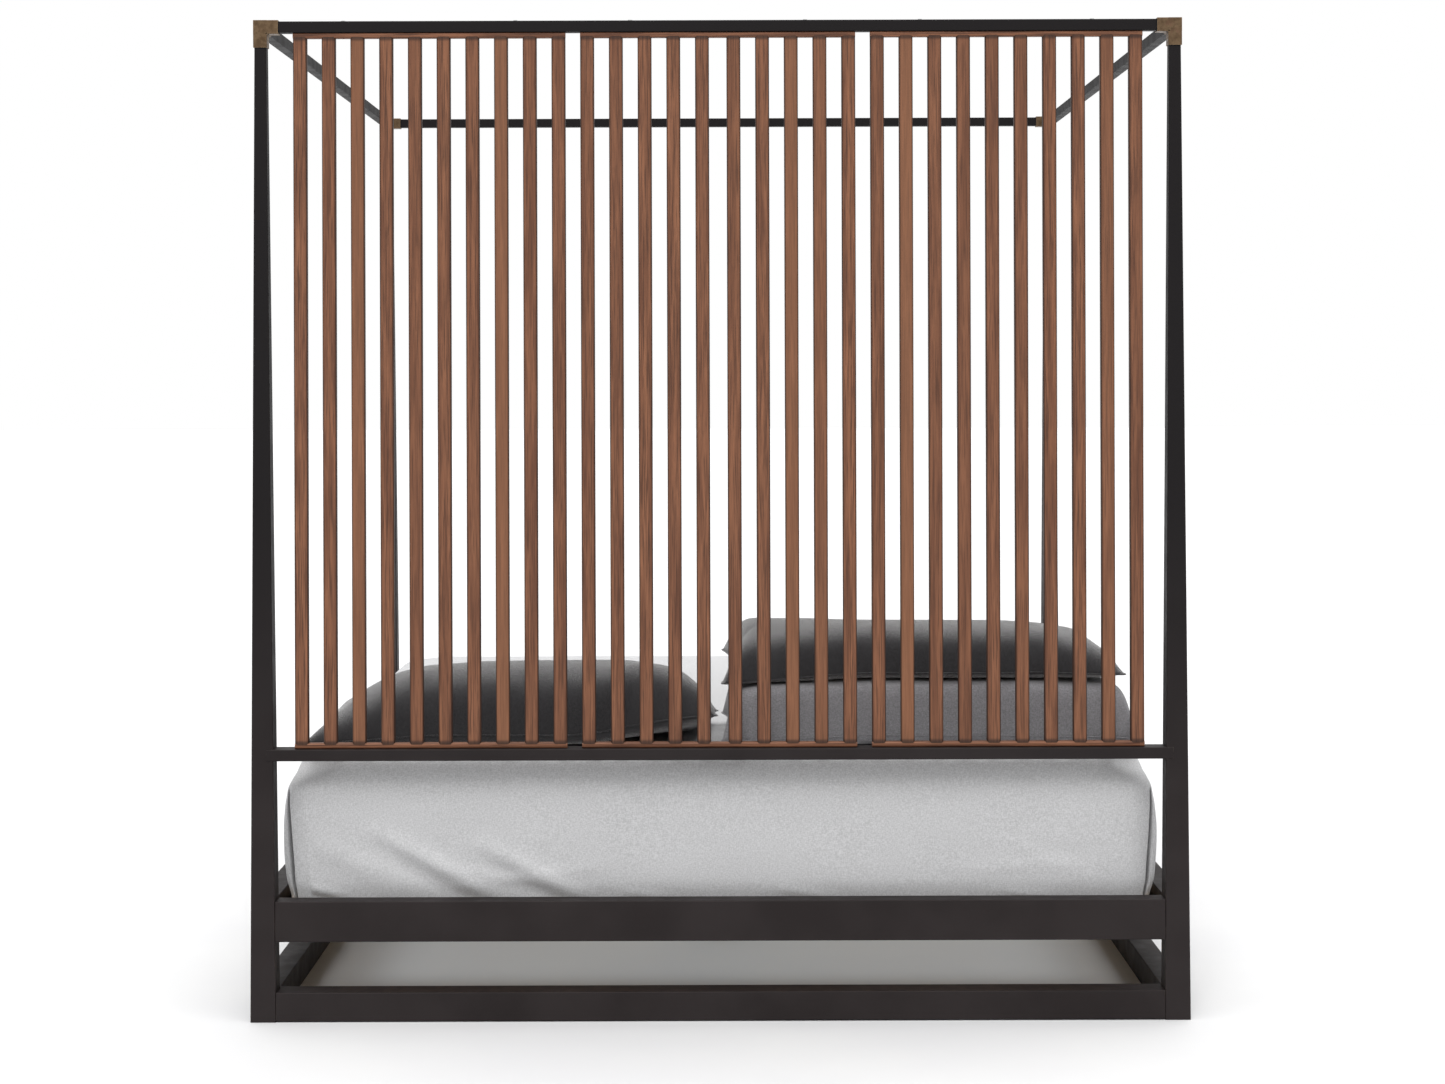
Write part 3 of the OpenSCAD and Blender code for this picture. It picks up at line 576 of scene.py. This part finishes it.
def wrapped_block(name, low, high, hem, material):
    """A rounded block: a grid on top, rings of quads down its sides and under it to
    the hem. low and high are its corners."""
    half_x = (high[0] - low[0]) / 2
    half_y = (high[1] - low[1]) / 2
    columns_x = column_places(2 * (half_x - PLAN_RADIUS))
    columns_y = column_places(2 * (half_y - PLAN_RADIUS))
    grid_x = [0] + columns_x + [1]
    grid_y = [0] + columns_y + [1]
    points = []
    faces = []
    index = {}
    for j, cy in enumerate(grid_y):
        for i, cx in enumerate(grid_x):
            index[i, j] = len(points)
            x = (half_x - PLAN_RADIUS) * (1 - 2 * cx)
            y = (half_y - PLAN_RADIUS) * (1 - 2 * cy)
            points.append((x, y, high[2]))
    last_i = len(grid_x) - 1
    last_j = len(grid_y) - 1
    for j in range(last_j):
        for i in range(last_i):
            faces.append((index[i, j], index[i, j + 1], index[i + 1, j + 1], index[i + 1, j]))
    # the first ring is the grid's own border, each corner point counted many times
    border = []
    for corner, run in (((0, 0), [(i, 0) for i in range(1, last_i)]),
                        ((last_i, 0), [(last_i, j) for j in range(1, last_j)]),
                        ((last_i, last_j), [(i, last_j) for i in range(last_i - 1, 0, -1)]),
                        ((0, last_j), [(0, j) for j in range(last_j - 1, 0, -1)])):
        border += [index[corner]] * (CORNER_COLUMNS + 1)
        border += [index[place] for place in run]
    previous = border
    for inset, z in side_profile(low[2], high[2], hem)[1:]:
        radius = max(PLAN_RADIUS - inset, 0.012) if inset < PLAN_RADIUS else 0.03
        ring = plan_ring(half_x - inset, half_y - inset, radius, columns_x, columns_y)
        current = list(range(len(points), len(points) + len(ring)))
        points += [(x, y, z) for x, y in ring]
        count = len(ring)
        for k in range(count):
            m = (k + 1) % count
            quad = [previous[k], current[k], current[m], previous[m]]
            if quad[0] == quad[3]:
                quad = quad[:3]
            faces.append(tuple(quad))
        previous = current
    block = new_object(name, points, faces, material)
    face_outward(block)
    return block, previous


def face_outward(thing):
    work = bmesh.new()
    work.from_mesh(thing.data)
    bmesh.ops.recalc_face_normals(work, faces=work.faces)
    work.to_mesh(thing.data)
    work.free()


def crease(across, up, start, end, width, height):
    """Height of one soft crease from start to end over a face's points."""
    run_x = end[0] - start[0]
    run_z = end[1] - start[1]
    length = math.hypot(run_x, run_z)
    t = ((across - start[0]) * run_x + (up - start[1]) * run_z) / length ** 2
    off = ((across - start[0]) * run_z - (up - start[1]) * run_x) / length
    taper = np.clip(np.sin(np.pi * np.clip(t, 0, 1)), 0, 1) ** 0.7
    ridge = np.exp(-(off / width) ** 2)
    valley = np.exp(-((off - 1.6 * width) / (1.3 * width)) ** 2)
    return height * taper * (ridge - 0.7 * valley)


def soft_noise(points, size, seed, waves=9):
    """Smooth noise from -1 to 1 out of seeded sine waves, about size metres long."""
    draw = np.random.default_rng(seed)
    total = np.zeros(len(points))
    for _ in range(waves):
        direction = draw.normal(size=3)
        direction /= np.linalg.norm(direction)
        length = size * draw.uniform(0.7, 1.6)
        total += np.sin(points @ direction * 2 * math.pi / length + draw.uniform(0, 6.28))
    return total / waves * 1.8


def rumple_sheet(points, low, high):
    """Folds, tension creases and corner tucks of the sheet, as moves along its sides."""
    half_x = (high[0] - low[0]) / 2
    half_y = (high[1] - low[1]) / 2
    x, y, z = points.T
    on_side = smooth_step(z, high[2] - 0.004, high[2] - CROWN_RADIUS) * smooth_step(z, low[2], low[2] + 0.02)
    over_x = np.abs(x) - (half_x - PLAN_RADIUS)
    over_y = np.abs(y) - (half_y - PLAN_RADIUS)
    corner = (over_x > 0) & (over_y > 0)
    normal_x = np.where(over_x > 0, np.sign(x) * np.maximum(over_x, 0), 0)
    normal_y = np.where(over_y > 0, np.sign(y) * np.maximum(over_y, 0), 0)
    length = np.hypot(normal_x, normal_y) + 1e-9
    normal_x = normal_x / length
    normal_y = normal_y / length
    out = np.zeros(len(points))

    # the two layers at each corner: the end's cloth in front, the side's flap behind it
    height = (z - low[2]) / (high[2] - low[2])
    reach = smooth_step(height, 0.80, 0.62)
    belly = np.sin(np.pi * np.clip((height - 0.02) / 0.8, 0, 1))
    beyond = over_x - (0.034 + 0.019 * np.clip(height / 0.76, 0, 1))
    lip = np.exp(-(np.minimum(beyond, 0) / 0.014) ** 2) * (beyond <= 0)
    slit = np.where(corner, reach * smooth_step(beyond, 0, 0.0015) * smooth_step(beyond, 0.0075, 0.0060), 0)
    flap = smooth_step(beyond, 0.005, 0.012) * belly
    out += np.where(corner, reach * (0.0035 * lip + 0.012 * flap), 0)
    side_face = (over_x > 0) & (over_y <= 0)
    fade = np.exp(-np.maximum(-over_y, 0) / 0.12)
    out += np.where(side_face, reach * 0.012 * fade * belly, 0)

    # the flap's slanting fold on each long side
    down_corner = -over_y
    slant = down_corner - (0.02 + (high[2] - 0.03 - z) * 0.8)
    step = smooth_step(slant, 0.004, -0.004) * smooth_step(slant, -0.16, -0.02)
    out += np.where(side_face, 0.0032 * step * on_side, 0)

    # tension creases, the same kind all round, then those the head end shows
    draw = np.random.default_rng(11)
    for face in range(4):
        across = x if face < 2 else y
        here = (over_y > 0) & (np.sign(y) == (-1, 1)[face % 2]) if face < 2 \
            else (over_x > 0) & (np.sign(x) == (-1, 1)[face % 2])
        reach_across = half_x if face < 2 else half_y
        lines = []
        if face == 0:
            lines += [((-0.80, 0.425), (-0.49, 0.252), 0.020, 0.0110),
                      ((-0.56, 0.395), (-0.29, 0.250), 0.020, 0.0090),
                      ((-0.96, 0.292), (-0.84, 0.262), 0.009, 0.0070),
                      ((-0.94, 0.395), (-0.74, 0.300), 0.024, 0.0040),
                      ((-0.22, 0.275), (-0.12, 0.256), 0.009, 0.0035),
                      ((0.12, 0.280), (0.26, 0.256), 0.010, 0.0035),
                      ((0.62, 0.275), (0.76, 0.256), 0.010, 0.0030)]
        for end in (-1, 1):
            for _ in range(2 if face == 0 else 5):
                a = end * reach_across * draw.uniform(0.62, 0.97)
                b = low[2] + draw.uniform(0.02, 0.16)
                run = draw.uniform(0.14, 0.42)
                rise = draw.uniform(-0.05, 0.12)
                lines.append(((a, b), (a - end * run, b + rise), draw.uniform(0.010, 0.022),
                              draw.uniform(0.0010, 0.0024)))
        for start, finish, width, size in lines:
            out += np.where(here & ~corner, crease(across, z, start, finish, width, size), 0) * on_side

    out += 0.0016 * soft_noise(points, 0.34, 5) * on_side
    out += 0.0006 * soft_noise(points, 0.09, 6) * on_side
    # the sides draw in a little towards the rails
    out -= 0.008 * smooth_step(z, low[2] + 0.06, low[2]) * smooth_step(z, low[2], low[2] + 0.02)

    moved = points.copy()
    moved[:, 0] += out * normal_x
    moved[:, 1] += out * normal_y - np.sign(y) * 0.032 * slit
    on_top = smooth_step(z, high[2] - 0.03, high[2] - 0.001)
    dents = 0.0022 + 0.0013 * soft_noise(points, 0.55, 7) + 0.0006 * soft_noise(points, 0.12, 8)
    moved[:, 2] -= np.maximum(dents, 0) * on_top
    return soften_corners(moved, half_x, half_y, high[2])


def soften_corners(points, half_x, half_y, top):
    """Rounds the shoulders, and the four top corners most, as cloth pulls them in."""
    near_x = smooth_step(np.abs(points[:, 0]), half_x - 0.16, half_x)
    near_y = smooth_step(np.abs(points[:, 1]), half_y - 0.16, half_y)
    upper = smooth_step(points[:, 2], top - 0.095, top - 0.012)
    both = near_x * near_y
    moved = points.copy()
    moved[:, 2] -= 0.020 * both * upper + 0.006 * np.maximum(near_x, near_y) * upper
    moved[:, 0] -= np.sign(points[:, 0]) * upper * near_x * (0.012 + 0.034 * near_y)
    moved[:, 1] -= np.sign(points[:, 1]) * upper * near_y * (0.006 + 0.020 * near_x)
    return moved


def gather_hem(points, low, hem_start):
    """Small gathers where the elastic draws the sheet in under the mattress."""
    under = points[:, 2] < low[2] + 0.0005
    x, y = points[:, 0], points[:, 1]
    inset = np.minimum(-low[0] - np.abs(x), -low[1] - np.abs(y))
    pull = smooth_step(inset, hem_start, HEM_REACH) * under
    around = np.where(-low[0] - np.abs(x) < -low[1] - np.abs(y), y, x)
    ripple = np.sin(around * 2 * math.pi / 0.028) * 0.5 + np.sin(around * 2 * math.pi / 0.041 + 1) * 0.5
    moved = points.copy()
    moved[:, 2] += pull * (0.0012 + 0.0012 * ripple)
    return moved


def make_fitted_sheet(linen):
    low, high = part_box("fitted_sheet")
    sheet, hem = wrapped_block("fitted_sheet_cloth", low, high, HEM_REACH, linen)
    points = points_of(sheet)
    points = rumple_sheet(points, low, high)
    points = gather_hem(points, low, 0.05)
    move_points(sheet, points)
    clear_of_slats = (0, 0, 0.0018)
    elastic = tube_along("fitted_sheet_elastic", points[hem] + clear_of_slats, SEAM_RADIUS, linen)
    elastic.parent = sheet
    subdivide(sheet)
    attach(sheet, "mattress")
    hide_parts("fitted_sheet")


def make_mattress(ticking):
    low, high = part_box("mattress")
    shrink = 0.006
    low = [c + shrink for c in low]
    high = [c - shrink for c in high]
    # the outline narrows under the sheet's draw-in
    core, rim = wrapped_block("mattress_core", low, high, 0.10, ticking)
    points = points_of(core)
    depth = smooth_step(points[:, 2], low[2] + 0.12, low[2])
    points[:, 0] *= 1 - 0.016 * depth
    points[:, 1] *= 1 - 0.016 * depth
    corner = (np.abs(points[:, 0]) > high[0] - PLAN_RADIUS) & (np.abs(points[:, 1]) > high[1] - PLAN_RADIUS)
    points[:, :2] *= 1 - 0.022 * corner[:, None]
    points[:, 2] -= 0.004 * smooth_step(points[:, 2], high[2] - 0.06, high[2])
    points = soften_corners(points, high[0], high[1], high[2])
    move_points(core, points)
    close_bottom(core, rim)
    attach(core, "mattress")
    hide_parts("mattress")


def close_bottom(thing, rim):
    """Closes the opening left inside rim with one face."""
    work = bmesh.new()
    work.from_mesh(thing.data)
    work.verts.ensure_lookup_table()
    work.faces.new([work.verts[i] for i in reversed(rim)])
    bmesh.ops.recalc_face_normals(work, faces=work.faces)
    work.to_mesh(thing.data)
    work.free()


# ---- pillows ----

CELL = 0.0125
FILL_FRAMES = 22
# a pillowcase is cut larger than the filled pillow
SPARE_WIDTH = 1.055
SPARE_DEPTH = 1.075


def pillow_panels(width, depth, rise, seed):
    """Two flat panels sewn together round their edge, slightly apart."""
    columns = round(width / CELL)
    rows = round(depth / CELL)
    points = []
    faces = []
    index = {}

    def place(i, j, side):
        border = i in (0, columns) or j in (0, rows)
        return i, j, 0 if border else side

    for side in (1, -1):
        for j in range(rows + 1):
            for i in range(columns + 1):
                key = place(i, j, side)
                if key in index:
                    continue
                index[key] = len(points)
                dome = math.sin(math.pi * i / columns) * math.sin(math.pi * j / rows)
                z = 0 if key[2] == 0 else side * rise * max(dome, 0) ** 0.5
                points.append(((i / columns - 0.5) * width, (j / rows - 0.5) * depth, z))
    for side in (1, -1):
        for j in range(rows):
            for i in range(columns):
                quad = [index[place(i, j, side)], index[place(i + 1, j, side)],
                        index[place(i + 1, j + 1, side)], index[place(i, j + 1, side)]]
                faces.append(tuple(quad if side > 0 else reversed(quad)))
    points = np.array(points)
    points[:, 2] += 0.002 * soft_noise(points, 0.16, seed) * np.sign(points[:, 2])
    seam = [index[i, 0, 0] for i in range(columns)]
    seam += [index[columns, j, 0] for j in range(rows)]
    seam += [index[i, rows, 0] for i in range(columns, 0, -1)]
    seam += [index[0, j, 0] for j in range(rows, 0, -1)]
    return points, faces, seam


def blow_up(pillow, pressure):
    """Fills a sewn pillowcase with air and keeps the shape it takes."""
    modifier = pillow.modifiers.new("Cloth", "CLOTH")
    settings = modifier.settings
    settings.quality = 5
    settings.mass = 0.006
    settings.tension_stiffness = 18
    settings.compression_stiffness = 18
    settings.shear_stiffness = 6
    settings.bending_stiffness = 0.4
    settings.use_pressure = True
    settings.uniform_pressure_force = pressure
    settings.effector_weights.gravity = 0
    modifier.point_cache.frame_start = 1
    modifier.point_cache.frame_end = FILL_FRAMES
    for step in range(1, FILL_FRAMES + 1):
        scene.frame_set(step)
    graph = bpy.context.evaluated_depsgraph_get()
    blown = points_of(pillow.evaluated_get(graph))
    pillow.modifiers.remove(modifier)
    scene.frame_set(1)
    return blown


def soften_seam(points, flat, seam, rounds=14):
    """Evens out the scallops that the sewn edge takes between its corners, and takes
    the cloth beside the edge with it. flat is the shape before filling."""
    line = points[seam].copy()
    for _ in range(rounds):
        line = 0.5 * line + 0.25 * (np.roll(line, -1, axis=0) + np.roll(line, 1, axis=0))
    move = line - points[seam]
    edge = flat[seam][:, :2]
    away = np.linalg.norm(flat[:, None, :2] - edge[None], axis=2)
    nearest = away.argmin(axis=1)
    follow = np.exp(-(away.min(axis=1) / 0.028) ** 2)
    points = points + move[nearest] * follow[:, None]
    return points, away.min(axis=1)


def relax(pillow, points, from_seam, rounds=16):
    """Draws the small creases beside the seam smooth."""
    pairs = np.empty(len(pillow.data.edges) * 2, dtype=np.int32)
    pillow.data.edges.foreach_get("vertices", pairs)
    one, other = pairs.reshape(-1, 2).T
    count = np.bincount(pairs, minlength=len(points))[:, None]
    weight = np.where(from_seam < 1e-6, 0, 0.08 + 0.5 * np.exp(-(from_seam / 0.07) ** 2))[:, None]
    for _ in range(rounds):
        total = np.zeros_like(points)
        np.add.at(total, one, points[other])
        np.add.at(total, other, points[one])
        points = points + weight * (total / count - points)
    return points


def fill_along(unit, heights):
    """Reshapes a blown pillow so that its top follows heights from end to end."""
    places = np.linspace(-1, 1, 33)
    w = unit[:, 2]
    crest = []
    for place in places:
        near = np.abs(unit[:, 0] - place) < 0.05
        crest.append(w[near].max())
    crest = np.array(crest)
    for _ in range(2):
        crest[1:-1] = (crest[:-2] + 2 * crest[1:-1] + crest[2:]) / 4
    wanted = np.interp(unit[:, 0], [h[0] for h in heights], [h[1] for h in heights])
    now = np.maximum(np.interp(unit[:, 0], places, crest), 0.12)
    return np.where(w > 0, w * np.minimum(wanted / now, 1.4), w)


def settle(points, box, seam_height, plump_top, plump_low, droop, heights):
    """Fits a blown pillow into its place and presses it flat where it lies.

    plump is near 1 for a round face and more for a flatter one. droop lists corners
    as (side, end, lift), lift being how far each one rises or, below 0, hangs. heights
    gives the crest of the top from the left end, -1, to the right end, 1."""
    low, high = box
    middle = (points.max(0) + points.min(0)) / 2
    span = points.max(0) - points.min(0)
    unit = (points - middle) / span * 2
    unit[:, 2] = fill_along(unit, heights)
    half_x = (high[0] - low[0]) / 2 - 0.002
    half_y = (high[1] - low[1]) / 2 - 0.002
    x = unit[:, 0] * half_x
    y = unit[:, 1] * half_y
    w = unit[:, 2]
    seam = low[2] + seam_height
    top = (high[2] - seam) * np.tanh(plump_top * np.maximum(w, 0)) / np.tanh(plump_top)
    bottom = (seam - low[2]) * np.tanh(plump_low * np.maximum(-w, 0)) / np.tanh(plump_low)
    z = seam + top - bottom
    for side, end, lift in droop:
        near = np.clip(1 - np.hypot((unit[:, 0] - side) / 0.75, (unit[:, 1] - end) / 1.5), 0, 1)
        z += lift * near * near * (3 - 2 * near)
    z = np.maximum(z, low[2])
    return np.column_stack([x + (low[0] + high[0]) / 2, y + (low[1] + high[1]) / 2, z])


def make_pillow(name, node, material, *, seed, seam_height, plump, droop, heights,
                spare=(0, 0, 0)):
    """spare: room left in its place at the outer end, at the front and above it."""
    low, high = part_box(node)
    box = (low + Vector((0, spare[1], 0)), high - Vector((spare[0], 0, spare[2])))
    width = (box[1][0] - box[0][0]) * SPARE_WIDTH
    depth = (box[1][1] - box[0][1]) * SPARE_DEPTH
    points, faces, seam = pillow_panels(width, depth, 0.03, seed)
    flat = points.copy()
    pillow = new_object(name, points, faces, material)
    points = blow_up(pillow, 7 + seed % 3)
    points, from_seam = soften_seam(points, flat, seam)
    points = relax(pillow, points, from_seam)
    points = settle(points, box, seam_height, plump[0], plump[1], droop, heights)
    move_points(pillow, points)
    sewn = tube_along(name + "_seam", points[seam], SEAM_RADIUS, material)
    sewn.parent = pillow
    subdivide(pillow)
    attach(pillow, node)
    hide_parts(node)


def make_pillows():
    charcoal = cloth("pillow_charcoal", rgb(35, 34, 36), rgb(57, 56, 58), 0.0011, 0.5, 0.85, 0.10)
    grey = cloth("pillow_grey", rgb(122, 121, 124), rgb(154, 153, 156), 0.0011, 0.5, 0.3, 0.10)
    make_pillow("charcoal_pillow_left", "pillow_left", charcoal,
                seed=21, seam_height=0.028, plump=(1.0, 2.6),
                droop=[(-1, -1, -0.010), (1, -1, 0.050)],
                heights=[(-1, 0.1), (-0.89, 0.28), (-0.76, 0.5), (-0.61, 0.74), (-0.46, 0.87),
                         (-0.2, 0.97), (0.1, 1), (0.35, 1), (0.56, 0.97), (0.7, 0.88), (0.82, 0.7),
                         (0.92, 0.46), (1, 0.2)])
    make_pillow("grey_pillow_right", "pillow_right_lower", grey,
                seed=22, seam_height=0.024, plump=(3.4, 2.6),
                droop=[(-1, -1, -0.004)],
                heights=[(-1, 0.35), (-0.95, 0.75), (-0.85, 0.96), (0, 1), (0.85, 0.96), (0.95, 0.7),
                         (1, 0.3)])
    make_pillow("charcoal_pillow_right", "pillow_right_upper", charcoal,
                seed=23, seam_height=0.018, plump=(1.5, 1.8),
                droop=[(-1, -1, -0.018), (-1, 1, 0.012)],
                heights=[(-1, 0.5), (-0.94, 0.84), (-0.8, 0.96), (-0.5, 1), (0, 0.98), (0.4, 0.92),
                         (0.65, 0.8), (0.82, 0.6), (0.94, 0.36), (1, 0.15)],
                spare=(0.020, 0.034, 0.012))


def ticking_cloth():
    """Quilted mattress ticking: off-white damask in stitched diamonds."""
    shader = Shader("mattress_ticking")
    x = shader.axis("X")
    y = shader.math("ADD", shader.axis("Y"), shader.axis("Z"))
    puff = 1
    for slant in ("ADD", "SUBTRACT"):
        line = shader.math("MULTIPLY", shader.math(slant, x, y), 34)
        puff = shader.math("MINIMUM", shader.math("ABSOLUTE", shader.math("SINE", line)), puff)
    figure = shader.noise(60, detail=4)
    tone = shader.mix(shader.ramp(figure, 0.4, 0.6), rgb(226, 223, 216), rgb(238, 236, 231))
    tone = shader.mix(shader.ramp(puff, 0.08, 0, 0, 0.5), tone, rgb(186, 182, 174))
    shader.set(Base_Color=tone, Roughness=shader.ramp(figure, 0.3, 0.7, 0.75, 0.9))
    shader.bsdf.inputs["Sheen Weight"].default_value = 0.15
    shader.bump(shader.math("POWER", puff, 0.5), 0.006, 0.8)
    return shader.material


make_camera()
make_floor()
make_light()
dress_frame()
linen_cloth = cloth("sheet_linen", rgb(172, 172, 173), rgb(205, 205, 206), 0.0012, 0.35, 0.1, 0.05)
make_fitted_sheet(linen_cloth)
make_mattress(ticking_cloth())
make_pillows()

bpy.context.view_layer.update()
